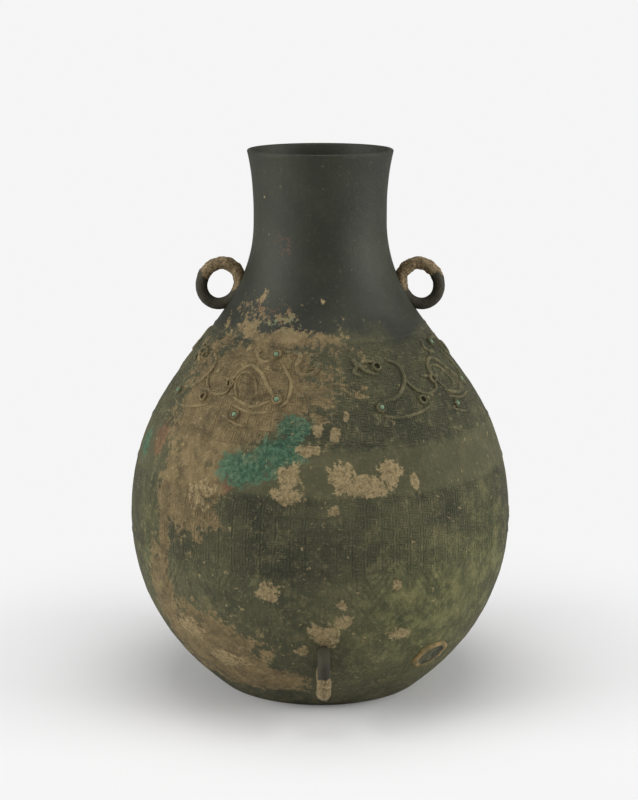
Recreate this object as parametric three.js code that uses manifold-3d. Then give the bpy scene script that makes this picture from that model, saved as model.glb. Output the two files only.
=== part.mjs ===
// Hu wine jar: a cast bronze, pear-shaped vessel with a narrow neck, two ring handles at the neck,
// a third ring low on the front, a frieze of round sockets and a cast-on repair low on one side.
//
// Frame: millimetres, +Z up, the origin at the middle of the base, the front towards -Y.
// An azimuth is measured from the front, growing towards +X, and a height from the base.

import * as THREE from 'three';
import { mergeVertices } from 'three/addons/utils/BufferGeometryUtils.js';
import Module from 'manifold-3d';

const wasm = await Module();
wasm.setup();

// Vessel outline
const HEIGHT = 350;
const FOOT_RADIUS = 68;
const FOOT_FLARE = 39.5;
const FOOT_PULL = 30;
const BELLY_RADIUS = 124.6;
const BELLY_HEIGHT = 111;
const BELLY_PULL_DOWN = 58;
const BELLY_PULL_UP = 101;
const NECK_RADIUS = 42.9;
const NECK_HEIGHT = 304;
const NECK_PULL_DOWN = 74;
const NECK_PULL_UP = 5;
const MOUTH_RADIUS = 46.8;
const MOUTH_PULL = 20;
const MOUTH_FLARE = 14;

// Walls and base
const WALL = 3.2;
const LIP_WALL = 2.2;
const FLOOR_TOP = 4;

// Raised threads that divide the wall into bands
const THREAD_HEIGHTS = [102, 151, 177.5, 237];
const THREAD_WIDTH = 2.2;
const THREAD_RISE = 0.9;

// Frieze sockets
const FRIEZE_SECTIONS = 4;
const FRIEZE_TURN = 3;
const SOCKET_RADIUS = 3.1;
const SOCKET_RISE = 1.9;
const SOCKET_ROOT = 1.2;
const SOCKET_BORE = 1.95;
const SOCKET_DEPTH = 1.1;
const INLAY_RISE = 0.5;

// Ring handles
const RING_THICKNESS = 7.9;
const RING_HOLE_WIDTH = 16.2;
const RING_HOLE_HEIGHT = 19.4;
const RING_SINK = 1.2;
const SIDE_RING_HEIGHT = 258;
const SIDE_RING_AZIMUTH = 90;
const FRONT_RING_HEIGHT = 45;
const FRONT_RING_AZIMUTH = 1;
const TENON_WIDTH = 6.2;
const TENON_LENGTH = 12;
const LOCK_LAP = 3;
const LOCK_THICKNESS = 1.8;

// Cast-on repair
const REPAIR_AZIMUTH = 43;
const REPAIR_HEIGHT = 37;
const REPAIR_WIDTH = 22;
const REPAIR_TALL = 16;
const REPAIR_LAP = 3;
const REPAIR_RISE = 1.7;
const REPAIR_HOLLOW = 1.1;

// Clearance between pieces cast or set separately
const GAP = 0.3;

// Facets
const AROUND = 48;
const LOWER_STEPS = 8;
const UPPER_STEPS = 12;
const MOUTH_STEPS = 4;

// Placing and solid helpers

function solid(geometry) {
  const bare = geometry.clone();
  for (const name of Object.keys(bare.attributes)) {
    if (name !== 'position') {
      bare.deleteAttribute(name);
    }
  }
  const merged = mergeVertices(bare, 1e-4);
  const points = Float32Array.from(merged.attributes.position.array);
  const faces = [];
  const a = new THREE.Vector3();
  const b = new THREE.Vector3();
  const c = new THREE.Vector3();
  let volume = 0;
  for (let i = 0; i < merged.index.count; i += 3) {
    const [p, q, r] = [0, 1, 2].map((k) => merged.index.getX(i + k));
    if (p === q || q === r || r === p) {
      continue;
    }
    faces.push(p, q, r);
    a.fromArray(points, p * 3);
    b.fromArray(points, q * 3);
    c.fromArray(points, r * 3);
    volume += a.dot(b.cross(c));
  }
  if (volume < 0) {
    for (let i = 0; i < faces.length; i += 3) {
      [faces[i], faces[i + 1]] = [faces[i + 1], faces[i]];
    }
  }
  return new wasm.Manifold(new wasm.Mesh({
    numProp: 3,
    vertProperties: points,
    triVerts: Uint32Array.from(faces),
  }));
}

function mesh(name, body, material) {
  const { vertProperties, triVerts } = body.getMesh();
  const geometry = new THREE.BufferGeometry();
  geometry.setAttribute('position', new THREE.BufferAttribute(Float32Array.from(vertProperties), 3));
  geometry.setIndex(new THREE.BufferAttribute(Uint32Array.from(triVerts), 1));
  geometry.computeVertexNormals();
  const item = new THREE.Mesh(geometry, material);
  item.name = name;
  return item;
}

function revolve(points) {
  const geometry = new THREE.LatheGeometry(points, AROUND);
  return solid(geometry.rotateX(Math.PI / 2));
}

// Outline of the wall's outside, as radius against height

const lowerCurve = new THREE.CubicBezierCurve(
  new THREE.Vector2(FOOT_RADIUS, 0),
  new THREE.Vector2(
    FOOT_RADIUS + FOOT_PULL * Math.cos(THREE.MathUtils.degToRad(FOOT_FLARE)),
    FOOT_PULL * Math.sin(THREE.MathUtils.degToRad(FOOT_FLARE)),
  ),
  new THREE.Vector2(BELLY_RADIUS, BELLY_HEIGHT - BELLY_PULL_DOWN),
  new THREE.Vector2(BELLY_RADIUS, BELLY_HEIGHT),
);
const upperCurve = new THREE.CubicBezierCurve(
  new THREE.Vector2(BELLY_RADIUS, BELLY_HEIGHT),
  new THREE.Vector2(BELLY_RADIUS, BELLY_HEIGHT + BELLY_PULL_UP),
  new THREE.Vector2(NECK_RADIUS, NECK_HEIGHT - NECK_PULL_DOWN),
  new THREE.Vector2(NECK_RADIUS, NECK_HEIGHT),
);
const mouthTop = HEIGHT - LIP_WALL / 2;
const mouthCurve = new THREE.CubicBezierCurve(
  new THREE.Vector2(NECK_RADIUS, NECK_HEIGHT),
  new THREE.Vector2(NECK_RADIUS, NECK_HEIGHT + NECK_PULL_UP),
  new THREE.Vector2(
    MOUTH_RADIUS - MOUTH_PULL * Math.sin(THREE.MathUtils.degToRad(MOUTH_FLARE)),
    mouthTop - MOUTH_PULL * Math.cos(THREE.MathUtils.degToRad(MOUTH_FLARE)),
  ),
  new THREE.Vector2(MOUTH_RADIUS, mouthTop),
);

function outline(lower, upper, mouth) {
  return [
    ...lowerCurve.getPoints(lower),
    ...upperCurve.getPoints(upper).slice(1),
    ...mouthCurve.getPoints(mouth).slice(1),
  ];
}

const fineOutline = outline(120, 160, 40);

function radiusAt(height) {
  let k = 1;
  while (k < fineOutline.length - 1 && fineOutline[k].y < height) {
    k += 1;
  }
  const p = fineOutline[k - 1];
  const q = fineOutline[k];
  return p.x + (q.x - p.x) * (height - p.y) / (q.y - p.y);
}

function outwardAt(height) {
  const slope = (radiusAt(height + 0.5) - radiusAt(height - 0.5));
  return new THREE.Vector2(1, -slope).normalize();
}

function wallAt(height) {
  const t = Math.max(0, (height - NECK_HEIGHT) / (mouthTop - NECK_HEIGHT));
  return WALL + (LIP_WALL - WALL) * Math.min(1, t);
}

// Heights of the facet rings
function ringHeights() {
  return outline(LOWER_STEPS, UPPER_STEPS, MOUTH_STEPS).map((p) => p.y);
}

function offsetLine(heights, distanceAt) {
  return heights.map((height) => {
    const n = outwardAt(height);
    const d = distanceAt(height);
    return new THREE.Vector2(radiusAt(height) + n.x * d, height + n.y * d);
  });
}

function outerLine() {
  const half = THREAD_WIDTH / 2;
  const plain = ringHeights().filter((z) => THREAD_HEIGHTS.every((t) => Math.abs(z - t) > half * 2));
  const heights = [...plain, ...THREAD_HEIGHTS.flatMap((t) => [t - half, t, t + half])];
  heights.sort((p, q) => p - q);
  return offsetLine(heights.slice(1), (z) => (THREAD_HEIGHTS.includes(z) ? THREAD_RISE : 0));
}

// Solid of everything within a set distance of the wall's outside
function filled(distance) {
  const line = offsetLine(ringHeights(), () => distance);
  const low = line[0].y;
  const high = line[line.length - 1].y;
  return revolve([new THREE.Vector2(0, low), ...line, new THREE.Vector2(0, high)]);
}

// Solid of the inside, drawn in by a set distance from the wall and the floor
function cavity(inset) {
  const line = offsetLine(ringHeights(), (z) => -wallAt(z) - inset);
  const floor = FLOOR_TOP + inset;
  const k = line.findIndex((p) => p.y > floor);
  const p = line[k - 1];
  const q = line[k];
  const corner = p.x + (q.x - p.x) * (floor - p.y) / (q.y - p.y);
  const rest = line.slice(k).filter((v) => v.y > floor + 1);
  const top = rest[rest.length - 1];
  return revolve([
    new THREE.Vector2(0, floor),
    new THREE.Vector2(corner, floor),
    ...rest,
    new THREE.Vector2(top.x, HEIGHT + 1),
    new THREE.Vector2(0, HEIGHT + 1),
  ]);
}

// Matrix with X along the wall sideways, Y up the wall and Z out of it
function onWall(azimuth, height) {
  const turn = THREE.MathUtils.degToRad(azimuth);
  const out = outwardAt(height);
  const east = new THREE.Vector3(Math.cos(turn), Math.sin(turn), 0);
  const n = new THREE.Vector3(out.x * Math.sin(turn), -out.x * Math.cos(turn), out.y);
  const up = new THREE.Vector3().crossVectors(n, east);
  const r = radiusAt(height);
  const place = new THREE.Matrix4().makeBasis(east, up, n);
  place.setPosition(r * Math.sin(turn), -r * Math.cos(turn), height);
  return place;
}

// Elliptic prism standing on a place of the wall, between two distances from the wall's outside
function plug(place, width, length, low, high, sides) {
  const geometry = new THREE.CylinderGeometry(0.5, 0.5, high - low, sides);
  geometry.rotateX(Math.PI / 2);
  geometry.translate(0, 0, (low + high) / 2);
  geometry.scale(width, length, 1);
  return solid(geometry.applyMatrix4(place));
}

// Sockets of one frieze section, as the angle from its middle and the height

const SOCKETS = [
  { turn: -41.4, height: 210.9, inlaid: false },
  { turn: -34.4, height: 194.7, inlaid: true },
  { turn: -23.9, height: 229.1, inlaid: true },
  { turn: -19.4, height: 205.0, inlaid: true },
  { turn: 19.6, height: 199.9, inlaid: true },
  { turn: 22.4, height: 222.1, inlaid: false },
  { turn: 38.1, height: 201.3, inlaid: false },
];

const socketPlaces = [];
for (let section = 0; section < FRIEZE_SECTIONS; section += 1) {
  for (const socket of SOCKETS) {
    const azimuth = FRIEZE_TURN + section * 360 / FRIEZE_SECTIONS + socket.turn;
    socketPlaces.push({ place: onWall(azimuth, socket.height), inlaid: socket.inlaid });
  }
}

function inlay(place) {
  const r = SOCKET_BORE - GAP;
  const low = GAP - SOCKET_DEPTH;
  const high = SOCKET_RISE + INLAY_RISE;
  const geometry = new THREE.LatheGeometry([
    new THREE.Vector2(0, low),
    new THREE.Vector2(r, low),
    new THREE.Vector2(r, SOCKET_RISE - INLAY_RISE),
    new THREE.Vector2(r * 0.7, high - INLAY_RISE / 2),
    new THREE.Vector2(0, high),
  ], 8);
  return solid(geometry.rotateX(Math.PI / 2).applyMatrix4(place));
}

// Ring handle: an oval ring standing on the wall, with a tenon through it and a lock pad inside

const outerClear = filled(GAP);
const cavityClear = cavity(GAP);

function handle(azimuth, height) {
  const place = onWall(azimuth, height);
  const halfLength = (RING_HOLE_HEIGHT + RING_THICKNESS) / 2;
  const halfWidth = (RING_HOLE_WIDTH + RING_THICKNESS) / 2;
  const torus = new THREE.TorusGeometry(halfLength, RING_THICKNESS / 2, 10, 28);
  const points = torus.attributes.position;
  for (let i = 0; i < points.count; i += 1) {
    const turn = Math.atan2(points.getY(i), points.getX(i));
    points.setX(i, points.getX(i) + (halfWidth - halfLength) * Math.cos(turn));
  }
  torus.rotateY(-Math.PI / 2);
  torus.translate(0, 0, halfWidth - RING_SINK);
  const ring = solid(torus.applyMatrix4(place)).subtract(outerClear);
  const tenon = plug(place, TENON_WIDTH, TENON_LENGTH, -WALL - LOCK_THICKNESS, RING_THICKNESS / 5, 16);
  const lock = plug(
    place,
    TENON_WIDTH + 2 * LOCK_LAP,
    TENON_LENGTH + 2 * LOCK_LAP,
    -WALL - GAP - LOCK_THICKNESS,
    0,
    16,
  ).intersect(cavityClear);
  return ring.add(tenon).add(lock);
}

function tenonHole(azimuth, height) {
  return plug(
    onWall(azimuth, height),
    TENON_WIDTH + 2 * GAP,
    TENON_LENGTH + 2 * GAP,
    -WALL * 2,
    WALL,
    16,
  );
}

const handlePlaces = {
  ring_handle_left: [-SIDE_RING_AZIMUTH, SIDE_RING_HEIGHT],
  ring_handle_right: [SIDE_RING_AZIMUTH, SIDE_RING_HEIGHT],
  ring_handle_front: [FRONT_RING_AZIMUTH, FRONT_RING_HEIGHT],
};

// Cast-on repair: a plug through an oval break, lapping over both faces of the wall

function repair() {
  const place = onWall(REPAIR_AZIMUTH, REPAIR_HEIGHT);
  const lapWidth = REPAIR_WIDTH + 2 * REPAIR_LAP;
  const lapTall = REPAIR_TALL + 2 * REPAIR_LAP;
  const outside = plug(place, lapWidth, lapTall, -WALL, 2 * REPAIR_RISE, 24)
    .subtract(outerClear)
    .intersect(filled(REPAIR_RISE));
  const inside = plug(place, lapWidth, lapTall, -3 * WALL, 0, 24)
    .intersect(cavityClear)
    .subtract(cavity(GAP + LOCK_THICKNESS));
  const core = plug(place, REPAIR_WIDTH, REPAIR_TALL, -3 * WALL, 2 * REPAIR_RISE, 24)
    .intersect(filled(REPAIR_RISE))
    .subtract(cavity(GAP + LOCK_THICKNESS));
  const hollow = plug(place, REPAIR_WIDTH, REPAIR_TALL, REPAIR_RISE - REPAIR_HOLLOW, 3 * REPAIR_RISE, 24);
  return core.add(outside).add(inside).subtract(hollow);
}

// Vessel: one casting, revolved, with its sockets raised on it and its openings cut

function vessel() {
  const outside = [
    new THREE.Vector2(0, 0),
    new THREE.Vector2(FOOT_RADIUS, 0),
    ...outerLine(),
    new THREE.Vector2(MOUTH_RADIUS - LIP_WALL * 0.15, HEIGHT - LIP_WALL * 0.15),
    new THREE.Vector2(MOUTH_RADIUS - LIP_WALL / 2, HEIGHT),
    new THREE.Vector2(0, HEIGHT),
  ];
  let body = revolve(outside);
  for (const { place } of socketPlaces) {
    const size = 2 * SOCKET_RADIUS;
    body = body.add(plug(place, size, size, -SOCKET_ROOT, SOCKET_RISE, 8));
  }
  for (const { place } of socketPlaces) {
    const size = 2 * SOCKET_BORE;
    body = body.subtract(plug(place, size, size, -SOCKET_DEPTH, 2 * SOCKET_RISE, 8));
  }
  body = body.subtract(cavity(0));
  for (const [azimuth, height] of Object.values(handlePlaces)) {
    body = body.subtract(tenonHole(azimuth, height));
  }
  return body.subtract(plug(
    onWall(REPAIR_AZIMUTH, REPAIR_HEIGHT),
    REPAIR_WIDTH + 2 * GAP,
    REPAIR_TALL + 2 * GAP,
    -3 * WALL,
    WALL,
    24,
  ));
}

// Materials

const bronze = new THREE.MeshStandardMaterial({ color: 0x4b463a, roughness: 0.72, metalness: 0.35 });
const ringBronze = new THREE.MeshStandardMaterial({ color: 0x443e35, roughness: 0.66, metalness: 0.4 });
const repairBronze = new THREE.MeshStandardMaterial({ color: 0x7b6238, roughness: 0.85, metalness: 0.2 });
const inlayStone = new THREE.MeshStandardMaterial({ color: 0x6fa58a, roughness: 0.8, metalness: 0 });

// Scene graph

const jar = new THREE.Group();
jar.name = 'hu_wine_jar';
jar.add(mesh('vessel_body', vessel(), bronze));
for (const [name, [azimuth, height]] of Object.entries(handlePlaces)) {
  jar.add(mesh(name, handle(azimuth, height), ringBronze));
}
jar.add(mesh('repair_patch', repair(), repairBronze));
const inlaid = socketPlaces.filter((socket) => socket.inlaid);
inlaid.forEach(({ place }, k) => {
  jar.add(mesh(`socket_inlay_${String(k + 1).padStart(2, '0')}`, inlay(place), inlayStone));
});

export default jar;
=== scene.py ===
# A cast bronze hu wine jar with three ring handles, dressed over its CAD frame.
# Metres, unless a value says otherwise; turns are in degrees from the front, -Y, towards +X.
import math
import bmesh
import bpy
import numpy as np
from mathutils import Matrix, Vector, noise


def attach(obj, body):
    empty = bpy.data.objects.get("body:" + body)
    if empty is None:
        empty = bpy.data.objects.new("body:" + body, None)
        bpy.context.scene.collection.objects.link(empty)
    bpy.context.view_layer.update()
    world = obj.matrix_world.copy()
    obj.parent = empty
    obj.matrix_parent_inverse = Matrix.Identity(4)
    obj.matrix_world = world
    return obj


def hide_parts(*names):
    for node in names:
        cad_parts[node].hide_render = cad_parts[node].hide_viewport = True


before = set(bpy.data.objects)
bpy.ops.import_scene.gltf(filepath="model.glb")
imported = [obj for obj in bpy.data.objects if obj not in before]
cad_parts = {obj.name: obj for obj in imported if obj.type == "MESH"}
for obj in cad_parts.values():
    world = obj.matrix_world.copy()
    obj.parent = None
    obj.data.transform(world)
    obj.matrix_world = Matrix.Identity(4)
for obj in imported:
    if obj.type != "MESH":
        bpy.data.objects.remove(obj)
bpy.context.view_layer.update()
scene = bpy.context.scene
scene.view_settings.view_transform = "Standard"


# Studio: a pale floor that melts into an even backdrop, under a dim even sky.
# Soft lamps stand to the left, to the right and above, so the jar's sides are its lightest parts.

BACKDROP = 0.915
FLOOR_SIZE = 400
FLOOR_TONE = 0.785
FLOOR_FADE_FROM = 0.12
FLOOR_FADE_TO = 0.36
SKY_COLOUR = (0.99, 0.99, 1.0, 1)
SKY_LEVEL = 0.31
SIDE_LAMP_SIZE = 1.1
TOP_LAMP_SIZE = 1.4
CAMERA_PLACE = (-0.0008, -1.2515, 0.4544)
CAMERA_DOWN = 12.115
CAMERA_LENS = 87.75
CAMERA_SENSOR = 36


def deselect():
    if bpy.context.object and bpy.context.object.mode != "OBJECT":
        bpy.ops.object.mode_set(mode="OBJECT")
    bpy.ops.object.select_all(action="DESELECT")


def grey(tone):
    return (tone, tone, tone, 1)


deselect()
bpy.ops.mesh.primitive_plane_add(size=FLOOR_SIZE, location=(0, 0, 0))
floor = bpy.context.object
floor.name = "studio_floor"
floor_paint = bpy.data.materials.new("floor_paint")
floor_paint.use_nodes = True
floor_nodes = floor_paint.node_tree.nodes
floor_links = floor_paint.node_tree.links
floor_shader = floor_nodes["Principled BSDF"]
floor_shader.inputs["Base Color"].default_value = grey(FLOOR_TONE)
floor_shader.inputs["Roughness"].default_value = 1.0
floor_shader.inputs["Specular IOR Level"].default_value = 0.0

# Away from the jar the floor is seen as the backdrop, and near it the floor takes the shadow
floor_place = floor_nodes.new("ShaderNodeTexCoord")
floor_reach = floor_nodes.new("ShaderNodeVectorMath")
floor_reach.operation = "LENGTH"
floor_links.new(floor_place.outputs["Object"], floor_reach.inputs[0])
floor_fade = floor_nodes.new("ShaderNodeMapRange")
floor_fade.interpolation_type = "SMOOTHSTEP"
floor_fade.inputs["From Min"].default_value = FLOOR_FADE_FROM
floor_fade.inputs["From Max"].default_value = FLOOR_FADE_TO
floor_links.new(floor_reach.outputs["Value"], floor_fade.inputs["Value"])
floor_paths = floor_nodes.new("ShaderNodeLightPath")
floor_seen = floor_nodes.new("ShaderNodeMath")
floor_seen.operation = "MULTIPLY"
floor_links.new(floor_fade.outputs["Result"], floor_seen.inputs[0])
floor_links.new(floor_paths.outputs["Is Camera Ray"], floor_seen.inputs[1])
floor_backdrop = floor_nodes.new("ShaderNodeEmission")
floor_backdrop.inputs["Color"].default_value = grey(BACKDROP)
floor_mix = floor_nodes.new("ShaderNodeMixShader")
floor_links.new(floor_seen.outputs[0], floor_mix.inputs[0])
floor_links.new(floor_shader.outputs[0], floor_mix.inputs[1])
floor_links.new(floor_backdrop.outputs[0], floor_mix.inputs[2])
floor_links.new(floor_mix.outputs[0], floor_nodes["Material Output"].inputs["Surface"])
floor.data.materials.append(floor_paint)

world = bpy.data.worlds.new("studio_sky")
scene.world = world
world.use_nodes = True
sky_nodes = world.node_tree.nodes
sky_links = world.node_tree.links
sky = sky_nodes["Background"]
sky.inputs["Color"].default_value = SKY_COLOUR
sky.inputs["Strength"].default_value = SKY_LEVEL
sky_backdrop = sky_nodes.new("ShaderNodeBackground")
sky_backdrop.inputs["Color"].default_value = grey(BACKDROP)
sky_paths = sky_nodes.new("ShaderNodeLightPath")
sky_mix = sky_nodes.new("ShaderNodeMixShader")
sky_links.new(sky_paths.outputs["Is Camera Ray"], sky_mix.inputs[0])
sky_links.new(sky.outputs[0], sky_mix.inputs[1])
sky_links.new(sky_backdrop.outputs[0], sky_mix.inputs[2])
sky_links.new(sky_mix.outputs[0], sky_nodes["World Output"].inputs["Surface"])


def softbox(name, place, aim, size, power):
    light = bpy.data.lights.new(name, "AREA")
    light.shape = "SQUARE"
    light.size = size
    light.energy = power
    lamp = bpy.data.objects.new(name, light)
    scene.collection.objects.link(lamp)
    lamp.location = place
    lamp.rotation_euler = (Vector(aim) - Vector(place)).to_track_quat("-Z", "Y").to_euler()


softbox("softbox_left", (-1.6, -0.50, 0.75), (0, 0, 0.17), SIDE_LAMP_SIZE, 24)
softbox("softbox_right", (1.6, -0.35, 0.75), (0, 0, 0.17), SIDE_LAMP_SIZE, 23)
softbox("softbox_top", (0, 0, 1.9), (0, 0, 0.1), TOP_LAMP_SIZE, 15)

camera = bpy.data.objects.new("camera", bpy.data.cameras.new("camera"))
scene.collection.objects.link(camera)
camera.location = CAMERA_PLACE
camera.rotation_euler = (math.radians(90 - CAMERA_DOWN), 0, 0)
camera.data.lens = CAMERA_LENS
camera.data.sensor_width = CAMERA_SENSOR
scene.camera = camera


# Vessel: a thin bronze wall cast in one pour, with a flat base, raised threads and an open mouth.
# Its outside carries cast lines, nearly worn away, and centuries of earth and green corrosion.
# The outline is three cubic curves in radius and height, revolved as the casting's core was.

HEIGHT = 0.350
FOOT_RADIUS = 0.068
FOOT_FLARE = math.radians(39.5)
FOOT_PULL = 0.030
BELLY_RADIUS = 0.1246
BELLY_HEIGHT = 0.111
BELLY_PULL_DOWN = 0.058
BELLY_PULL_UP = 0.101
NECK_RADIUS = 0.0429
NECK_HEIGHT = 0.304
NECK_PULL_DOWN = 0.074
NECK_PULL_UP = 0.005
MOUTH_RADIUS = 0.0468
MOUTH_FLARE = math.radians(14)
MOUTH_PULL = 0.020
WALL = 0.0032
LIP_WALL = 0.0022
LIP_HEIGHT = HEIGHT - LIP_WALL / 2
LIP_ROUNDING = 0.15 * LIP_WALL
BASE_FLAT = 0.060
FLOOR_TOP = 0.004
FLOOR_FLAT = 0.064
FLOOR_CORNER = 0.0675
FLOOR_CORNER_RISE = 0.001
INSIDE_FROM_LIP = 0.004
INSIDE_FOOT = 0.0115

THREADS = (0.102, 0.151, 0.1775, 0.237)
THREAD_SPREAD = 0.0008
THREAD_LIFT = 0.00035
COLUMNS = 400
OUTER_ROWS = 175
INNER_ROWS = 40
CLOSE_ROWS_FROM = 0.174
CLOSE_ROWS_TO = 0.240
CLOSENESS = 1.5
THREAD_ROW = 0.0007
THREAD_CLEAR = 0.0016


def cubic(start, pull, push, end, steps):
    """Points of a cubic curve from its two ends and the two points that draw it."""
    t = np.linspace(0, 1, steps + 1)[:, None]
    return ((1 - t) ** 3 * np.array(start, float) + 3 * (1 - t) ** 2 * t * np.array(pull, float)
            + 3 * (1 - t) * t ** 2 * np.array(push, float) + t ** 3 * np.array(end, float))


lower_wall = cubic((FOOT_RADIUS, 0),
                   (FOOT_RADIUS + FOOT_PULL * math.cos(FOOT_FLARE), FOOT_PULL * math.sin(FOOT_FLARE)),
                   (BELLY_RADIUS, BELLY_HEIGHT - BELLY_PULL_DOWN), (BELLY_RADIUS, BELLY_HEIGHT), 400)
upper_wall = cubic((BELLY_RADIUS, BELLY_HEIGHT), (BELLY_RADIUS, BELLY_HEIGHT + BELLY_PULL_UP),
                   (NECK_RADIUS, NECK_HEIGHT - NECK_PULL_DOWN), (NECK_RADIUS, NECK_HEIGHT), 600)
mouth_wall = cubic((NECK_RADIUS, NECK_HEIGHT), (NECK_RADIUS, NECK_HEIGHT + NECK_PULL_UP),
                   (MOUTH_RADIUS - MOUTH_PULL * math.sin(MOUTH_FLARE),
                    LIP_HEIGHT - MOUTH_PULL * math.cos(MOUTH_FLARE)),
                   (MOUTH_RADIUS, LIP_HEIGHT), 100)
outline = np.vstack([lower_wall, upper_wall[1:], mouth_wall[1:]])


def radius_at(height):
    return np.interp(height, outline[:, 1], outline[:, 0])


def outward_at(height):
    """How far the wall's outward direction points away from the axis, and how far up."""
    reach = 0.0005
    slope = (radius_at(height + reach) - radius_at(height - reach)) / (2 * reach)
    length = np.sqrt(1 + slope ** 2)
    return 1 / length, -slope / length


def wall_frame(turn, height):
    """Place on the wall: X sideways, Y up the wall, Z out of it."""
    angle = math.radians(turn)
    out, rise = outward_at(height)
    radius = float(radius_at(height))
    outward = Vector((out * math.sin(angle), -out * math.cos(angle), rise))
    sideways = Vector((math.cos(angle), math.sin(angle), 0))
    up = outward.cross(sideways)
    place = Matrix((sideways, up, outward)).transposed().to_4x4()
    place.translation = Vector((radius * math.sin(angle), -radius * math.cos(angle), height))
    return place


# Rows are even along the wall, closer over the frieze, with five more across each thread
steps_along = np.hypot(np.diff(outline[:, 0]), np.diff(outline[:, 1]))
over_frieze = (outline[1:, 1] > CLOSE_ROWS_FROM) & (outline[1:, 1] < CLOSE_ROWS_TO)
closeness = np.where(over_frieze, CLOSENESS, 1.0)
travelled = np.concatenate([[0], np.cumsum(steps_along * closeness)])
row_heights = list(np.interp(np.linspace(0, travelled[-1], OUTER_ROWS), travelled, outline[:, 1]))
row_heights = [z for z in row_heights if all(abs(z - thread) > THREAD_CLEAR for thread in THREADS)]
row_heights += [thread + k * THREAD_ROW for thread in THREADS for k in (-2, -1, 0, 1, 2)]
row_heights.sort()

section = [(0.0, 0.0), (BASE_FLAT, 0.0)]
section += [(float(radius_at(z)), z) for z in row_heights]
section += [(MOUTH_RADIUS - LIP_ROUNDING, HEIGHT - LIP_ROUNDING),
            (MOUTH_RADIUS - LIP_WALL / 2, HEIGHT),
            (MOUTH_RADIUS - LIP_WALL + LIP_ROUNDING, HEIGHT - LIP_ROUNDING),
            (MOUTH_RADIUS - LIP_WALL, LIP_HEIGHT)]
for z in np.linspace(LIP_HEIGHT - INSIDE_FROM_LIP, INSIDE_FOOT, INNER_ROWS):
    out, rise = outward_at(z)
    thinning = max(0.0, (z - NECK_HEIGHT) / (LIP_HEIGHT - NECK_HEIGHT))
    thickness = WALL + (LIP_WALL - WALL) * thinning
    section.append((float(radius_at(z)) - out * thickness, z - rise * thickness))
section += [(FLOOR_CORNER, FLOOR_TOP + FLOOR_CORNER_RISE), (FLOOR_FLAT, FLOOR_TOP), (0.0, FLOOR_TOP)]

deselect()
vessel_mesh = bpy.data.meshes.new("vessel_body_skin")
vessel_mesh.from_pydata([(0, -r, z) for r, z in section],
                        [(k, k + 1) for k in range(len(section) - 1)], [])
vessel = bpy.data.objects.new("vessel_body_skin", vessel_mesh)
scene.collection.objects.link(vessel)
vessel.select_set(True)
bpy.context.view_layer.objects.active = vessel
bpy.ops.object.mode_set(mode="EDIT")
bpy.ops.mesh.select_all(action="SELECT")
bpy.ops.mesh.spin(steps=COLUMNS, angle=2 * math.pi, center=(0, 0, 0), axis=(0, 0, 1))
bpy.ops.mesh.select_all(action="SELECT")
bpy.ops.mesh.remove_doubles(threshold=0.000002)
bpy.ops.mesh.normals_make_consistent(inside=False)
bpy.ops.object.mode_set(mode="OBJECT")

# Stains: turn, height, half width and half height in millimetres, and strength
STAINS = {
    # Tan earth over the left shoulder and low left side
    "crust": ((-23, 214, 44, 27, 1), (-40, 190, 40, 40, 1), (-38, 205, 44, 40, 1), (-42, 152, 28, 30, 1),
              (-20, 238, 30, 6, 1), (-40, 46, 38, 26, 1), (-26, 27, 32, 12, 1), (-56, 74, 12, 36, 1),
              (-52, 122, 5, 56, 1), (150, 90, 40, 34, 1), (-140, 190, 30, 22, 1), (100, 60, 24, 16, 1)),
    # Paler lumps of it, thick enough to stand proud
    "lumps": ((-9, 162, 8, 8, 1), (-9, 151, 9, 4, 1), (-14, 154, 5, 3, 1), (6, 163, 8, 8, 1),
              (21, 164, 7, 8, 1), (13, 157, 18, 6, 1), (29, 157, 3, 4, 1), (4, 143, 3, 3, 1),
              (9, 197, 2, 3, 1), (5, 187, 3, 4, 1), (-1, 189, 3, 3, 1), (-4, 178, 6, 3, 1),
              (-15, 92, 7, 8, 1), (6, 85, 4, 4, 1), (7, 73, 5, 4, 1), (-1, 66, 5, 5, 1),
              (-6, 52, 5, 4, 1), (22, 95, 3, 3, 1), (25, 60, 7, 4, 1), (2, 60, 7, 8, 1),
              (-54, 322, 2, 1.5, 0.8), (2, 260, 2, 2, 0.7), (-37, 147, 10, 10, 0.7),
              (-34, 38, 14, 6, 0.8), (-46, 58, 10, 7, 0.8), (130, 150, 10, 8, 1),
              (-160, 70, 14, 9, 1), (175, 205, 9, 7, 1), (88, 110, 7, 5, 1)),
    # Bright green corrosion under the frieze
    "malachite": ((-22, 166, 21, 11, 1), (-13, 176, 14, 9, 1), (-9, 190, 11, 7, 0.8),
                  (-76, 165, 10, 10, 0.7), (-25, 247, 20, 6, 0.3), (-160, 150, 14, 9, 1),
                  (140, 215, 12, 8, 1)),
    # Red-brown copper that shows through
    "rust": ((-28, 157, 4, 8, 1), (-64, 172, 7, 9, 1), (-35, 293, 9, 9, 0.34), (-33, 254, 16, 5, 0.4),
             (115, 180, 8, 6, 1)),
    # A yellow-green cast, low on the right and at the back
    "leaf_green": ((38, 74, 50, 46, 1), (60, 100, 30, 40, 1), (-60, 100, 20, 50, 0.8),
                   (-150, 100, 40, 40, 1)),
}
STAIN_EDGES = {"crust": 0.5, "lumps": 0.5, "malachite": 0.5, "rust": 0.5, "leaf_green": 0.7}
SMOOTH_FROM = 0.230
SMOOTH_OVER = 0.018
NOISE_GAIN = 0.7
NOISE_STEP = 2.1
EARTH_THICK = 0.00045
LUMP_THICK = 0.0008
GREEN_THICK = 0.0005
WALL_SWELL = 0.00022
WALL_GRIT = 0.00016
WALL_FINE_GRIT = 0.00008
BASE_CALM = 0.012


def points_of(mesh):
    flat = np.empty(len(mesh.vertices) * 3)
    mesh.vertices.foreach_get("co", flat)
    return flat.reshape(-1, 3)


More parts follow.
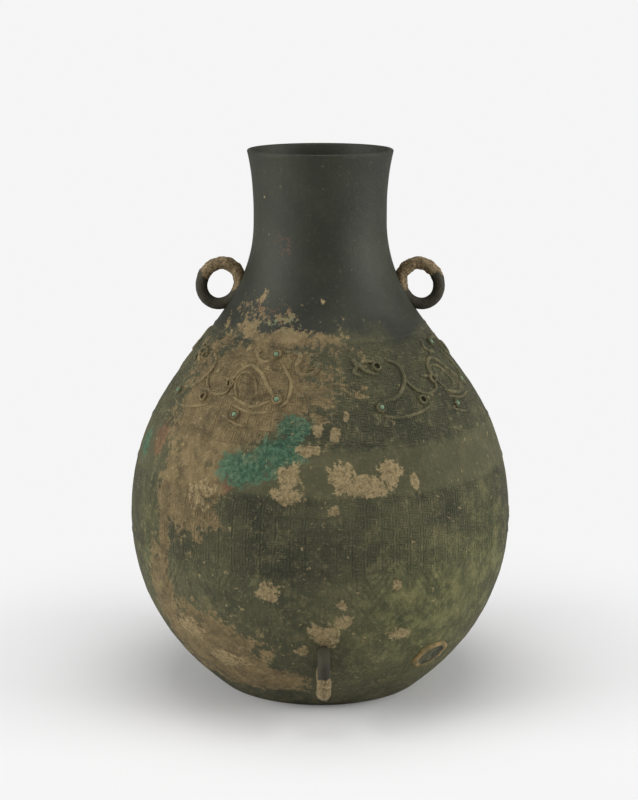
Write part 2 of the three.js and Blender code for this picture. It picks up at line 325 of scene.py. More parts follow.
def turn_height_reach(points):
    turn = np.degrees(np.arctan2(points[:, 0], -points[:, 1]))
    return turn, points[:, 2], np.hypot(points[:, 0], points[:, 1])


def roughness_over(points, frequency, seed, octaves):
    shift = Vector((seed * 3.1, seed * 1.7, seed * 5.3))
    return np.array([noise.fractal(Vector(p) * frequency + shift, NOISE_GAIN, NOISE_STEP, octaves)
                     for p in points])


def stain_fields(points):
    """How far each kind of corrosion covers every point, from 0 to 1, and the roughness under it."""
    turn, height, reach = turn_height_reach(points)
    broad = roughness_over(points, frequency=28, seed=1, octaves=3)
    middling = roughness_over(points, frequency=90, seed=2, octaves=3)
    fine = roughness_over(points, frequency=300, seed=3, octaves=2)
    raggedness = broad * 0.30 + middling * 0.34 + fine * 0.16
    fields = {}
    for kind, spots in STAINS.items():
        edge = STAIN_EDGES[kind]
        fields[kind] = np.zeros(len(points))
        for spot_turn, spot_height, half_width, half_height, strength in spots:
            away = (turn - spot_turn + 180) % 360 - 180
            side = np.radians(away) * reach * 1000 / half_width
            rise = (height * 1000 - spot_height) / half_height
            distance = np.sqrt(side ** 2 + rise ** 2) + raggedness
            cover = np.clip((1 + edge - distance) / (2 * edge), 0, 1) * strength
            fields[kind] = np.maximum(fields[kind], cover)
    fields["smooth_neck"] = np.clip((height - SMOOTH_FROM) / SMOOTH_OVER + broad * 0.5, 0, 1)
    return fields, broad, middling, fine


def store_fields(mesh, fields):
    for field, values in fields.items():
        layer = mesh.attributes.new(field, "FLOAT", "POINT")
        layer.data.foreach_set("value", values.astype(np.float32))


points = points_of(vessel_mesh)
turn, height, reach = turn_height_reach(points)
on_outside = (np.abs(reach - radius_at(height)) < 0.00005) & (height > 0.0005)
fields, broad, middling, fine = stain_fields(points)
store_fields(vessel_mesh, fields)

# The skin stands out where it is crusted and at the threads, less near the base and not at its edge
threads = sum(np.exp(-((height - thread) / THREAD_SPREAD) ** 2) for thread in THREADS)
solid_lumps = np.clip((fields["lumps"] - 0.35) / 0.3, 0, 1)
lift = THREAD_LIFT * threads
lift += EARTH_THICK * fields["crust"] * (0.4 + middling)
lift += LUMP_THICK * solid_lumps * (0.7 + 0.6 * fine)
lift += GREEN_THICK * fields["malachite"] * (0.6 + fine)
lift += WALL_SWELL * broad
lift += (WALL_GRIT * middling + WALL_FINE_GRIT * fine) * (1 - 0.8 * fields["smooth_neck"])
lift = np.where(on_outside, lift, 0) * np.clip(height / BASE_CALM, 0, 1)
out, rise = outward_at(np.clip(height, 0.001, LIP_HEIGHT - 0.001))
points[:, 0] += lift * out * np.sin(np.radians(turn))
points[:, 1] -= lift * out * np.cos(np.radians(turn))
points[:, 2] += lift * rise
vessel_mesh.vertices.foreach_set("co", points.ravel())

# Map of the wall: the turn from the back as U, the height in metres as V
wall_map = vessel_mesh.uv_layers.new(name="wall_map")
corner = np.empty(len(vessel_mesh.loops), int)
vessel_mesh.loops.foreach_get("vertex_index", corner)
face_of_corner = np.repeat(np.arange(len(vessel_mesh.polygons)),
                           [face.loop_total for face in vessel_mesh.polygons])
across = turn[corner] / 360 + 0.5
face_end = np.zeros(len(vessel_mesh.polygons))
np.maximum.at(face_end, face_of_corner, across)
across = np.where(face_end[face_of_corner] - across > 0.5, across + 1, across)
wall_map.data.foreach_set("uv", np.column_stack([across, height[corner]]).ravel())

deselect()
vessel.select_set(True)
bpy.context.view_layer.objects.active = vessel
bpy.ops.object.shade_smooth_by_angle(angle=math.radians(50))


def srgb(red, green, blue):
    """A colour given as it is seen on screen, in steps of 0 to 255, as the shader takes it."""
    def linear(step):
        level = step / 255
        return level / 12.92 if level <= 0.04045 else ((level + 0.055) / 1.055) ** 2.4
    return (linear(red), linear(green), linear(blue), 1.0)


class Finish:
    """One material and the nodes that lead to its shader."""

    def __init__(self, name):
        self.material = bpy.data.materials.new(name)
        self.material.use_nodes = True
        self.tree = self.material.node_tree
        self.shader = self.tree.nodes["Principled BSDF"]

    def feed(self, node, socket, value):
        if isinstance(value, bpy.types.NodeSocket):
            self.tree.links.new(value, node.inputs[socket])
        else:
            node.inputs[socket].default_value = value

    def add(self, kind, settings, inputs):
        node = self.tree.nodes.new(kind)
        for key, value in settings.items():
            setattr(node, key, value)
        for socket, value in inputs.items():
            self.feed(node, socket, value)
        return node

    def place(self):
        return self.add("ShaderNodeTexCoord", {}, {}).outputs["Object"]

    def grain(self, scale, detail=4.0, rough=0.6, flat=1.0):
        """Cloudy grain, drawn out upwards where flat is under 1."""
        place = self.place()
        if flat != 1.0:
            drawn = self.add("ShaderNodeMapping", {}, {"Vector": place, "Scale": (1.0, 1.0, flat)})
            place = drawn.outputs[0]
        cloud = self.add("ShaderNodeTexNoise", {}, {
            "Vector": place, "Scale": scale, "Detail": detail, "Roughness": rough})
        return cloud.outputs["Fac"]

    def worn(self, field):
        return self.add("ShaderNodeAttribute", {"attribute_name": field}, {}).outputs["Fac"]

    def calc(self, operation, a, b=0.0, clamp=False):
        settings = {"operation": operation, "use_clamp": clamp}
        return self.add("ShaderNodeMath", settings, {0: a, 1: b}).outputs[0]

    def plus(self, a, b, clamp=False):
        return self.calc("ADD", a, b, clamp)

    def minus(self, a, b, clamp=False):
        return self.calc("SUBTRACT", a, b, clamp)

    def times(self, a, b):
        return self.calc("MULTIPLY", a, b)

    def step(self, value, low, high):
        """From 0 at low to 1 at high."""
        ramp = self.add("ShaderNodeMapRange", {}, {"Value": value, "From Min": low, "From Max": high})
        return ramp.outputs["Result"]

    def mix(self, cover, below, above):
        node = self.add("ShaderNodeMix", {"data_type": "RGBA"}, {"Factor": cover})
        self.feed(node, 6, below)
        self.feed(node, 7, above)
        return node.outputs[2]

    def stain(self, below, cover, amount, above):
        return self.mix(self.times(cover, amount), below, above)

    def bump(self, height, distance, strength, under=None):
        inputs = {"Height": height, "Distance": distance, "Strength": strength}
        if under is not None:
            inputs["Normal"] = under
        return self.add("ShaderNodeBump", {}, inputs).outputs["Normal"]

    def join(self, value, socket):
        self.tree.links.new(value, self.shader.inputs[socket])

    def metal(self, metallic, specular):
        self.shader.inputs["Metallic"].default_value = metallic
        self.shader.inputs["Specular IOR Level"].default_value = specular


BRONZE_DARK = srgb(60, 61, 42)
BRONZE_LIGHT = srgb(89, 87, 60)
BRONZE_DUSTY = srgb(104, 99, 68)
BRONZE_STREAK = srgb(46, 47, 32)
BRONZE_SPECK = srgb(122, 116, 84)
BRONZE_PIT = srgb(38, 39, 28)
BRONZE_LINE = srgb(40, 41, 28)
BAND_DARK = srgb(76, 75, 50)
BAND_LIGHT = srgb(90, 87, 60)
LEAF_DARK = srgb(70, 74, 42)
LEAF_LIGHT = srgb(124, 122, 76)
NECK_DARK = srgb(34, 36, 27)
NECK_LIGHT = srgb(52, 54, 41)
NECK_SPECK = srgb(84, 86, 68)
EARTH_DARK = srgb(92, 78, 51)
EARTH_LIGHT = srgb(136, 117, 80)
EARTH_SPECK = srgb(150, 132, 96)
EARTH_PIT = srgb(72, 62, 42)
EARTH_LINE = srgb(76, 66, 44)
COPPER_RED = srgb(108, 72, 50)
GREEN_DARK = srgb(36, 70, 52)
GREEN_LIGHT = srgb(70, 110, 84)
GREEN_DUSTY = srgb(104, 112, 84)
LUMP_DARK = srgb(106, 92, 62)
LUMP_LIGHT = srgb(154, 136, 98)
LUMP_DUST = srgb(176, 158, 120)
CRUMB = srgb(146, 130, 92)
# Lighter tone for the raised work: rubbed wear and painted highlight
RUBBED_AND_HIGHLIGHT = srgb(150, 136, 100)
SKIN_ROUGHNESS = 0.78
NECK_ROUGHNESS = 0.58

SQUARES_ROUND = 84
SQUARES_A_METRE = 122
SQUARE_TURNS = 5
BLADES = 16
BLADE_SHIFT = 0.851
BLADE_TIP = 0.066
BLADE_LENGTH = 0.036
BLADE_LINES = 5
BAND_FADE = 0.001


def cast_lines(skin, coarse, mottle):
    """The lines cast into the wall, where the wall has any, what is left of them, and the plain band."""
    uv = skin.add("ShaderNodeUVMap", {"uv_map": "wall_map"}, {}).outputs[0]
    split = skin.add("ShaderNodeSeparateXYZ", {}, {0: uv})
    turn, tall = split.outputs[0], split.outputs[1]

    def between(low, high):
        return skin.times(skin.step(tall, low, low + BAND_FADE), skin.step(tall, high, high - BAND_FADE))

    # Thunder-pattern squares: a spiral groove in each cell of the frieze and the belly band
    cell_across = skin.minus(skin.calc("FRACT", skin.times(turn, SQUARES_ROUND)), 0.5)
    cell_up = skin.minus(skin.calc("FRACT", skin.times(tall, SQUARES_A_METRE)), 0.5)
    square = skin.calc("MAXIMUM", skin.calc("ABSOLUTE", cell_across), skin.calc("ABSOLUTE", cell_up))
    spin = skin.calc("DIVIDE", skin.calc("ARCTAN2", cell_up, cell_across), 2 * math.pi)
    groove = skin.minus(skin.times(square, SQUARE_TURNS), spin)
    groove = skin.plus(groove, skin.times(mottle, 0.7))
    groove = skin.step(skin.calc("PINGPONG", groove, 0.5), 0.10, 0.36)
    belly_band = between(THREADS[0] + 0.0005, THREADS[1] - 0.0005)
    frieze = between(THREADS[2] + 0.001, THREADS[3] - 0.0005)
    banded = skin.plus(belly_band, frieze, True)

    # Pendant blades under the belly band, each with nested lines
    blade_across = skin.calc("FRACT", skin.plus(skin.times(turn, BLADES), BLADE_SHIFT))
    blade_side = skin.times(skin.calc("ABSOLUTE", skin.minus(blade_across, 0.5)), 2)
    drop = skin.calc("DIVIDE", skin.minus(tall, BLADE_TIP), BLADE_LENGTH)
    inset = skin.minus(drop, blade_side)
    nested = skin.plus(skin.times(inset, BLADE_LINES), skin.times(mottle, 0.5))
    nested = skin.step(skin.calc("PINGPONG", nested, 0.5), 0.12, 0.32)
    under_band = skin.step(tall, THREADS[0] + 0.0005, THREADS[0] - 0.0005)
    in_blade = skin.times(skin.step(inset, 0.0, 0.02), under_band)
    in_blade = skin.times(in_blade, skin.step(coarse, 0.40, 0.62))

    lines = skin.plus(skin.times(groove, banded), skin.times(nested, in_blade))
    lined = skin.plus(banded, in_blade, True)
    sunk = skin.times(lined, skin.minus(1.0, lines, True))
    wear = skin.step(skin.plus(coarse, skin.times(mottle, 0.5)), 0.58, 0.88)
    left_over = skin.times(sunk, skin.minus(1.0, skin.times(wear, 0.7)))
    plain_band = between(THREADS[1] + 0.0005, THREADS[2] - 0.0003)
    return lines, lined, left_over, plain_band


def vessel_finish(name, wall):
    """The jar's corroded bronze: the wall itself, or the raised work on it, which has no lines and is
    painted lighter as wear and painted highlight.
    """
    skin = Finish(name)
    coarse = skin.grain(20, 5.0)
    mottle = skin.grain(95, 6.0, 0.7)
    speck = skin.grain(380, 4.0, 0.75)
    dust = skin.grain(900, 3.0, 0.7)
    streak = skin.grain(330, 4.0, 0.7, flat=0.16)

    def ragged(field, low=0.40, high=0.60, blur=1.5, grit=1.1):
        """A stain's cover, its edge broken up by the mottle and the specks."""
        cover = skin.plus(skin.worn(field), skin.times(skin.minus(mottle, 0.5), blur))
        cover = skin.plus(cover, skin.times(skin.minus(speck, 0.5), grit))
        return skin.step(cover, low, high)

    colour = skin.mix(skin.step(coarse, 0.36, 0.64), BRONZE_DARK, BRONZE_LIGHT)
    colour = skin.mix(skin.step(mottle, 0.50, 0.70), colour, BRONZE_DUSTY)
    colour = skin.stain(colour, skin.step(streak, 0.50, 0.66), 0.5, BRONZE_STREAK)
    colour = skin.stain(colour, skin.step(speck, 0.56, 0.68), 0.6, BRONZE_SPECK)
    colour = skin.stain(colour, skin.step(dust, 0.55, 0.68), 0.7, BRONZE_PIT)

    earth = skin.mix(skin.step(mottle, 0.36, 0.64), EARTH_DARK, EARTH_LIGHT)
    earth = skin.stain(earth, skin.step(speck, 0.54, 0.68), 0.6, EARTH_SPECK)
    earth = skin.stain(earth, skin.step(dust, 0.52, 0.66), 0.55, EARTH_PIT)
    relief = None
    if wall:
        lines, lined, left_over, plain_band = cast_lines(skin, coarse, mottle)
        colour = skin.stain(colour, left_over, 0.5, BRONZE_LINE)
        even = skin.mix(skin.step(mottle, 0.4, 0.7), BAND_DARK, BAND_LIGHT)
        colour = skin.stain(colour, plain_band, 0.7, even)
        earth = skin.stain(earth, left_over, 0.3, EARTH_LINE)
        relief = skin.bump(skin.times(lines, lined), 0.0006, 0.8)

    leaf = skin.mix(skin.step(mottle, 0.4, 0.6), LEAF_DARK, LEAF_LIGHT)
    colour = skin.stain(colour, ragged("leaf_green", 0.3, 0.9, 0.8, 0.5), 0.5, leaf)
    neck = skin.mix(skin.step(coarse, 0.35, 0.7), NECK_DARK, NECK_LIGHT)
    neck = skin.stain(neck, skin.step(speck, 0.55, 0.72), 0.25, NECK_SPECK)
    colour = skin.mix(ragged("smooth_neck", 0.3, 0.7, 0.8, 0.5), colour, neck)
    colour = skin.stain(colour, ragged("crust"), 0.88, earth)
    colour = skin.stain(colour, ragged("rust"), 0.5, COPPER_RED)
    green = skin.mix(skin.step(speck, 0.40, 0.60), GREEN_DARK, GREEN_LIGHT)
    green = skin.stain(green, skin.step(mottle, 0.52, 0.66), 0.6, GREEN_DUSTY)
    colour = skin.stain(colour, ragged("malachite"), 0.85, green)
    pale = skin.mix(skin.step(speck, 0.38, 0.62), LUMP_DARK, LUMP_LIGHT)
    pale = skin.stain(pale, skin.step(dust, 0.5, 0.64), 0.5, LUMP_DUST)
    colour = skin.stain(colour, ragged("lumps", 0.42, 0.58, 1.2, 1.2), 0.93, pale)

    # Small pale crumbs are scattered over all but the neck
    off_neck = skin.minus(1.0, skin.times(skin.worn("smooth_neck"), 0.95))
    crumbs = skin.times(skin.step(skin.grain(210, 3.0), 0.66, 0.70), off_neck)
    colour = skin.stain(colour, crumbs, 0.8, CRUMB)
    if not wall:
        # Raised work is painted a little lighter than the ground around it, partly as rubbed wear and partly
        # as a painted highlight
        colour = skin.stain(colour, skin.step(mottle, 0.35, 0.65), 0.28, RUBBED_AND_HIGHLIGHT)

    skin.join(colour, "Base Color")
    skin.join(skin.mix(skin.worn("smooth_neck"), grey(SKIN_ROUGHNESS), grey(NECK_ROUGHNESS)), "Roughness")
    skin.metal(0.1, 0.32)
    pits = skin.plus(skin.plus(skin.times(speck, 0.7), mottle), skin.times(dust, 0.35))
    calm = skin.minus(1.0, skin.times(skin.worn("smooth_neck"), 0.8))
    skin.join(skin.bump(skin.times(pits, calm), 0.0014, 0.85, relief), "Normal")
    return skin.material


vessel_mesh.materials.append(vessel_finish("vessel_bronze_finish", wall=True))
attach(vessel, "root")
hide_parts("vessel_body")


# Frieze scrolls: half-round beads of bronze that draw coiled creatures round the shoulder.
# They were cast with the wall, the same in each quarter. Each is a width and the points that
# it runs through, as turn from the quarter's middle and height in millimetres.

QUARTERS = (0, 90, 180, 270)
FRIEZE_TURN = 3.0
SCROLLS = {
    "left_outer_coil": (1.3, ((-41.4, 211), (-39.5, 218), (-34.6, 222), (-28.3, 218), (-24, 211),
                              (-19.4, 205))),
    "left_inner_coil": (0.9, ((-36, 204), (-39.4, 212), (-37.3, 218), (-31.6, 216), (-28.3, 208),
                              (-29.4, 204))),
    "left_belly": (1.2, ((-37.8, 204), (-28.5, 200), (-22, 204))),
    "left_claw": (0.9, ((-37.1, 200), (-28.8, 197), (-20.4, 198))),
    "left_horn": (1.4, ((-20.2, 231), (-12.6, 230), (-13.4, 224), (-11.6, 219.5), (-7.3, 219),
                        (-4, 223), (-5.4, 226))),
    "left_snout": (1.1, ((-32.5, 231), (-33.5, 228), (-30.3, 225), (-26.4, 225))),
    "left_back": (1.0, ((-19.9, 224), (-15, 215), (-15.2, 205), (-17.7, 201))),
    "left_tail": (0.9, ((-39.8, 194), (-33.3, 190), (-29.2, 189))),
    "right_horn": (1.3, ((21.2, 218), (17.1, 220), (13.3, 224.5), (11.8, 227))),
    "right_snout": (1.2, ((21.2, 225), (16.3, 225.4), (11.7, 220.3), (14.8, 217.3))),
    "right_coil": (1.2, ((28.1, 225.4), (33.6, 221.3), (33.6, 213.4), (28, 205.4), (21.3, 203))),
    "right_wing": (1.0, ((33.6, 213.4), (37.3, 207), (42.4, 204), (48.4, 206), (48.1, 212),
                         (43, 214))),
    "right_claw": (0.9, ((20, 195.5), (25.9, 193.5), (35, 195), (42, 198))),
}
SCROLL_STEPS = 6
SCROLL_ARC = 6
SCROLL_HALF_WIDTH = 0.0011
SCROLL_FULLNESS = 0.95
SCROLL_STAND = 0.0001
SCROLL_ROOT = 0.0011
SCROLL_TIP = 0.35
SMOOTH_ANGLE = math.radians(60)


def smooth_path(knots):
    """Points along a smooth line through the knots, as turn and height."""
    knots = [np.array(knot, float) for knot in knots]
    knots = [2 * knots[0] - knots[1]] + knots + [2 * knots[-1] - knots[-2]]
    line = []
    for a, b, c, d in zip(knots, knots[1:], knots[2:], knots[3:]):
        for t in np.linspace(0, 1, SCROLL_STEPS, endpoint=False):
            line.append(0.5 * (2 * b + (c - a) * t + (2 * a - 5 * b + 4 * c - d) * t ** 2
                               + (3 * b - a - 3 * c + d) * t ** 3))
    line.append(knots[-2])
    return line


def band_of_faces(mesh, ring, next_ring):
    for k in range(len(ring)):
        j = (k + 1) % len(ring)
        mesh.faces.new((ring[k], ring[j], next_ring[j], next_ring[k]))


def add_scroll(mesh, width, knots, quarter):
    """One bead along its line, round above and rooted in the wall, thinner at both ends."""
    places = [wall_frame(quarter + FRIEZE_TURN + turn, height / 1000) for turn, height in smooth_path(knots)]
    last = len(places) - 1
    rings = []
    for i, place in enumerate(places):
        ahead = places[min(i + 1, last)].translation - places[max(i - 1, 0)].translation
        outward = place.col[2].to_3d()
        side = ahead.cross(outward).normalized()
        from_end = min(1, (i + 0.6) / 4, (last - i + 0.6) / 4)
        taper = SCROLL_TIP + (1 - SCROLL_TIP) * math.sin(math.pi * from_end / 2)
        half = width * SCROLL_HALF_WIDTH * taper
        ring = []
        for k in range(SCROLL_ARC + 1):
            angle = math.pi * k / SCROLL_ARC
            stand = half * SCROLL_FULLNESS * math.sin(angle) + SCROLL_STAND
            ring.append(mesh.verts.new(place.translation + side * half * math.cos(angle) + outward * stand))
        ring.append(mesh.verts.new(place.translation - outward * SCROLL_ROOT))
        rings.append(ring)
    for ring, next_ring in zip(rings, rings[1:]):
        band_of_faces(mesh, ring, next_ring)
    mesh.faces.new(rings[0])
    mesh.faces.new(list(reversed(rings[-1])))


def finish_piece(name, mesh, material, nodes, stained=False):
    """Makes a piece from its mesh, gives it its finish, hangs it on the root body and hides the CAD nodes it
    stands for.
    """
    bmesh.ops.recalc_face_normals(mesh, faces=mesh.faces)
    data = bpy.data.meshes.new(name)
    mesh.to_mesh(data)
    mesh.free()
    if stained:
        store_fields(data, stain_fields(points_of(data))[0])
    data.materials.append(material)
    piece = bpy.data.objects.new(name, data)
    scene.collection.objects.link(piece)
    deselect()
    piece.select_set(True)
    bpy.context.view_layer.objects.active = piece
    bpy.ops.object.shade_smooth_by_angle(angle=SMOOTH_ANGLE)
    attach(piece, "root")
    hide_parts(*nodes)


relief_bronze = vessel_finish("relief_bronze_finish", wall=False)
scrolls = bmesh.new()
for quarter in QUARTERS:
    for width, knots in SCROLLS.values():
        add_scroll(scrolls, width, knots, quarter)
finish_piece("frieze_scrolls", scrolls, relief_bronze, ["vessel_body"], stained=True)


# Frieze sockets and inlays: short round tubes cast standing on the wall, seven in each quarter.
# Four of the seven still hold a weathered inlay, a domed plug set in the tube's bore.
# Each socket is a turn from the quarter's middle, a height in millimetres, and whether it is filled.

SOCKETS = ((-41.4, 210.9, False), (-34.4, 194.7, True), (-23.9, 229.1, True), (-19.4, 205.0, True),
           (19.6, 199.9, True), (22.4, 222.1, False), (38.1, 201.3, False))
# Radius and height in millimetres, from the foot inside the wall to the middle
SOCKET_SHAPE = ((3.5, -1.0), (3.2, 0.3), (3.05, 1.3), (2.85, 1.75), (2.45, 1.9), (2.1, 1.8),
                (1.95, 1.4), (1.9, -0.9), (0.0, -1.05))
INLAY_SHAPE = ((1.6, -0.8), (1.62, 1.3), (1.5, 1.75), (1.1, 2.05), (0.6, 2.2), (0.0, 2.25))
SOCKET_SIDES = 24
SOCKET_DENT = 0.12
INLAY_SIDES = 20
INLAY_DENT = 0.10
INLAY_COUNT = 16
INLAY_DARK = srgb(74, 106, 82)
INLAY_LIGHT = srgb(134, 150, 116)


def add_turned(mesh, shape, place, sides, dent, seed):
    """A small turned form that stands on the wall, slightly out of round."""
    rings = []
    for radius, stand in shape:
        if radius == 0:
            rings.append([mesh.verts.new(place @ Vector((0, 0, stand / 1000)))])
            continue
        ring = []
        for k in range(sides):
            angle = 2 * math.pi * k / sides
            spot = Vector((radius * math.cos(angle), radius * math.sin(angle), stand))
            wobble = 1 + dent * noise.noise(spot * 0.6 + Vector((seed * 7.3, 0, 0)))
            ring.append(mesh.verts.new(place @ (Vector((spot.x * wobble, spot.y * wobble, stand)) / 1000)))
        rings.append(ring)
    for ring, next_ring in zip(rings, rings[1:]):
        if len(next_ring) > 1:
            band_of_faces(mesh, ring, next_ring)
            continue
        for k in range(sides):
            mesh.faces.new((ring[k], ring[(k + 1) % sides], next_ring[0]))
    mesh.faces.new(rings[0])


tubes = bmesh.new()
inlays = bmesh.new()
seed = 0
for quarter in QUARTERS:
    for turn, height, filled in SOCKETS:
        seed += 1
        place = wall_frame(quarter + FRIEZE_TURN + turn, height / 1000)
        add_turned(tubes, SOCKET_SHAPE, place, SOCKET_SIDES, SOCKET_DENT, seed)
        if filled:
            add_turned(inlays, INLAY_SHAPE, place, INLAY_SIDES, INLAY_DENT, seed)
finish_piece("frieze_sockets", tubes, relief_bronze, ["vessel_body"], stained=True)

weathered = Finish("inlay_finish")
weathered.join(weathered.mix(weathered.step(weathered.grain(600), 0.4, 0.65), INLAY_DARK, INLAY_LIGHT),
               "Base Color")
weathered.shader.inputs["Roughness"].default_value = 0.75
weathered.join(weathered.bump(weathered.grain(1500, 3.0), 0.0004, 0.6), "Normal")
finish_piece("socket_inlays", inlays, weathered.material,
             ["socket_inlay_%02d" % k for k in range(1, INLAY_COUNT + 1)])


# Ring handles: oval bronze loops, cast on to the wall and sunk a little into it on one side.
# The two at the neck are crusted above and worn smooth below, and the low front one is the
# other way up. Sizes are in millimetres.

RING_THICKNESS = 7.9
RING_HOLE_WIDTH = 16.2
RING_HOLE_HEIGHT = 19.4
RING_SINK = 1.2
RING_AROUND = 96
RING_SIDES = 32
RING_CRUST = 0.30
RING_CRUST_LUMPS = 0.55
RING_LUMPS = 0.08
RING_WEAR = 0.1
SIDE_RING_TURN = 90
SIDE_RING_HEIGHT = 258
SIDE_CRUST_GRAIN = 120
SIDE_CRUST_BLEND = 9
FRONT_RING_TURN = 1
FRONT_RING_HEIGHT = 45
FRONT_CRUST_GRAIN = 140
FRONT_CRUST_TOP = 40
FRONT_CRUST_BLEND = 4
RING_LUMP_GRAIN = 260
RING_BARE_LIGHT = srgb(60, 56, 42)
RING_EARTH_LIGHT = srgb(146, 126, 92)
SIDE_BARE_DARK = srgb(52, 48, 37)
SIDE_EARTH_DARK = srgb(88, 74, 52)
FRONT_BARE_DARK = srgb(42, 42, 30)
FRONT_EARTH_DARK = srgb(92, 82, 56)


def ring_finish(name, earth_dark, bare_dark):
    bronze = Finish(name)
    mottle = bronze.grain(160, 5.0, 0.65)
    speck = bronze.grain(700, 3.0, 0.7)
    bare = bronze.mix(bronze.step(bronze.grain(60), 0.4, 0.65), bare_dark, RING_BARE_LIGHT)
    earth = bronze.mix(bronze.step(speck, 0.4, 0.65), earth_dark, RING_EARTH_LIGHT)
    cover = bronze.plus(bronze.worn("crusted"), bronze.times(bronze.minus(mottle, 0.5), 1.3))
    bronze.join(bronze.mix(bronze.step(cover, 0.45, 0.62), bare, earth), "Base Color")
    bronze.shader.inputs["Roughness"].default_value = 0.66
    bronze.metal(0.1, 0.3)
    pits = bronze.plus(mottle, bronze.times(speck, 0.5))
    bronze.join(bronze.bump(pits, 0.0012, 0.7), "Normal")
    return bronze.material


def side_crust(up_ring, spot):
    ragged_edge = noise.fractal(spot * SIDE_CRUST_GRAIN, NOISE_GAIN, NOISE_STEP, 2)
    return up_ring / SIDE_CRUST_BLEND + ragged_edge * 0.5


def front_crust(up_ring, spot):
    ragged_edge = noise.fractal(spot * FRONT_CRUST_GRAIN, NOISE_GAIN, NOISE_STEP, 2)
    return (FRONT_CRUST_TOP - spot.z * 1000) / FRONT_CRUST_BLEND + ragged_edge * 0.5


def add_ring(node, turn, height, material, crust_at):
    place = wall_frame(turn, height / 1000)
    half_length = (RING_HOLE_HEIGHT + RING_THICKNESS) / 2
    half_width = (RING_HOLE_WIDTH + RING_THICKNESS) / 2
    mesh = bmesh.new()
    crusted = mesh.verts.layers.float.new("crusted")
    rings = []
    for i in range(RING_AROUND):
        angle = 2 * math.pi * i / RING_AROUND
        direction = Vector((0, math.sin(angle), math.cos(angle)))
        centre = Vector((0, half_length * math.sin(angle),
                         half_width - RING_SINK + half_width * math.cos(angle)))
        ring = []
        for k in range(RING_SIDES):
            round_tube = 2 * math.pi * k / RING_SIDES
            spoke = direction * math.cos(round_tube) + Vector((1, 0, 0)) * math.sin(round_tube)
            local = centre + spoke * RING_THICKNESS / 2
            spot = place @ (local / 1000)
            cover = min(1, max(0, 0.5 + crust_at(local.y, spot)))
            lump = noise.fractal(spot * RING_LUMP_GRAIN, NOISE_GAIN, NOISE_STEP, 3)
            local += spoke * (cover * (RING_CRUST + RING_CRUST_LUMPS * lump) + RING_LUMPS * lump - RING_WEAR)
            vert = mesh.verts.new(place @ (local / 1000))
            vert[crusted] = cover
            ring.append(vert)
        rings.append(ring)
    for ring, next_ring in zip(rings, rings[1:] + rings[:1]):
        band_of_faces(mesh, ring, next_ring)
    finish_piece(node + "_loop", mesh, material, [node])


side_metal = ring_finish("side_ring_finish", SIDE_EARTH_DARK, SIDE_BARE_DARK)
front_metal = ring_finish("front_ring_finish", FRONT_EARTH_DARK, FRONT_BARE_DARK)
add_ring("ring_handle_left", -SIDE_RING_TURN, SIDE_RING_HEIGHT, side_metal, side_crust)
add_ring("ring_handle_right", SIDE_RING_TURN, SIDE_RING_HEIGHT, side_metal, side_crust)
add_ring("ring_handle_front", FRONT_RING_TURN, FRONT_RING_HEIGHT, front_metal, front_crust)


# Repair: bronze run through an oval break low on the right and cast on over both faces.
# Its edge is lumpy, raised and ochre with earth, and its middle is sunk, dark and rough.
# Sizes are in millimetres.

REPAIR_TURN = 43
REPAIR_HEIGHT = 37
REPAIR_HALF_WIDTH = 14.0
REPAIR_HALF_TALL = 11.0
REPAIR_WALL_LEAN = 0.83
REPAIR_SIDES = 72
REPAIR_RISE_LIMIT = 1.65
REPAIR_RIM_SHARE = 0.75
REPAIR_LUMPS = 0.45
REPAIR_LUMP_GRAIN = 0.22
REPAIR_OUT_OF_ROUND = 0.10
REPAIR_HEAVY_SIDE = math.radians(135)
HOLLOW_DARK = srgb(40, 40, 26)
HOLLOW_LIGHT = srgb(78, 76, 48)
RIM_DARK = srgb(92, 78, 46)
RIM_LIGHT = srgb(146, 122, 76)
REPAIR_GREEN = srgb(76, 104, 66)
# Share of the half width, and rise, from the edge in the wall to the middle
REPAIR_SHAPE = ((1.0, -0.8), (1.0, 0.1), (0.97, 0.9), (0.90, 1.5), (0.80, 1.6), (0.72, 1.2),
                (0.66, 0.6), (0.5, 0.35), (0.3, 0.5), (0.12, 0.4))

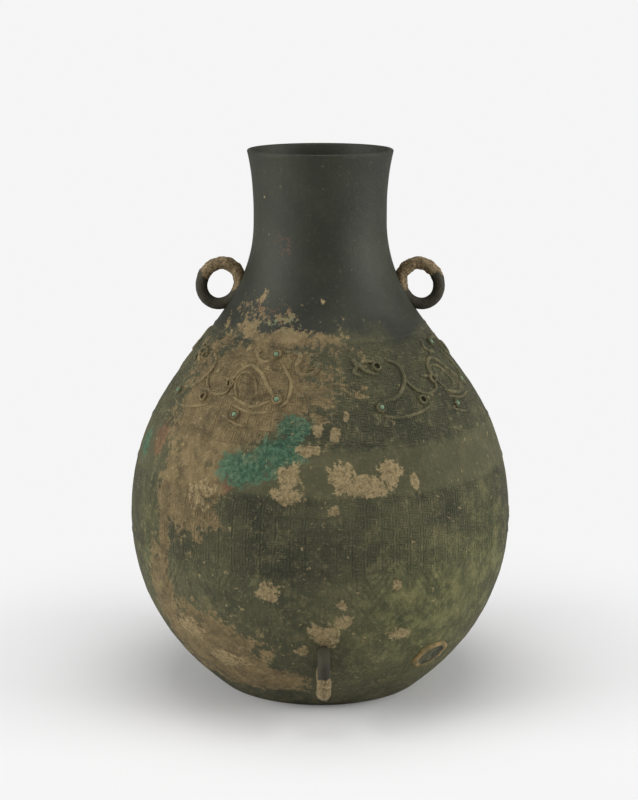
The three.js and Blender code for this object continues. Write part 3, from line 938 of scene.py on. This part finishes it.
repair_radius = float(radius_at(REPAIR_HEIGHT / 1000))
repair = bmesh.new()
on_rim = repair.verts.layers.float.new("rim")
repair_rings = []
for share, stand in REPAIR_SHAPE:
    ring = []
    for k in range(REPAIR_SIDES):
        angle = 2 * math.pi * k / REPAIR_SIDES
        x = REPAIR_HALF_WIDTH * share * math.cos(angle)
        y = REPAIR_HALF_TALL * share * math.sin(angle)
        lump_place = Vector((x * REPAIR_LUMP_GRAIN, y * REPAIR_LUMP_GRAIN, 4.2))
        lump = noise.fractal(lump_place, NOISE_GAIN, NOISE_STEP, 3)
        heaviness = 0.75 + 0.35 * math.cos(angle - REPAIR_HEAVY_SIDE)
        grow = 1 + REPAIR_OUT_OF_ROUND * lump * share
        place = wall_frame(REPAIR_TURN + math.degrees(x * grow / 1000 / repair_radius),
                           (REPAIR_HEIGHT + y * grow * REPAIR_WALL_LEAN) / 1000)
        rise = stand * heaviness
        if stand > 0:
            rise += REPAIR_LUMPS * lump
        vert = repair.verts.new(place @ Vector((0, 0, min(REPAIR_RISE_LIMIT, rise) / 1000)))
        vert[on_rim] = 1.0 if share > REPAIR_RIM_SHARE else 0.0
        ring.append(vert)
    repair_rings.append(ring)
for ring, next_ring in zip(repair_rings, repair_rings[1:]):
    band_of_faces(repair, ring, next_ring)
repair.faces.new(repair_rings[-1])
repair.faces.new(list(reversed(repair_rings[0])))

ochre = Finish("repair_finish")
repair_mottle = ochre.grain(120, 5.0, 0.65)
hollow = ochre.mix(ochre.step(repair_mottle, 0.38, 0.6), HOLLOW_DARK, HOLLOW_LIGHT)
rim = ochre.mix(ochre.step(repair_mottle, 0.35, 0.6), RIM_DARK, RIM_LIGHT)
repair_colour = ochre.mix(ochre.worn("rim"), hollow, rim)
repair_colour = ochre.mix(ochre.step(ochre.grain(260), 0.6, 0.72), repair_colour, REPAIR_GREEN)
ochre.join(repair_colour, "Base Color")
ochre.shader.inputs["Roughness"].default_value = 0.8
ochre.join(ochre.bump(ochre.grain(500), 0.001, 0.7), "Normal")
finish_piece("repair_cast", repair, ochre.material, ["repair_patch"])
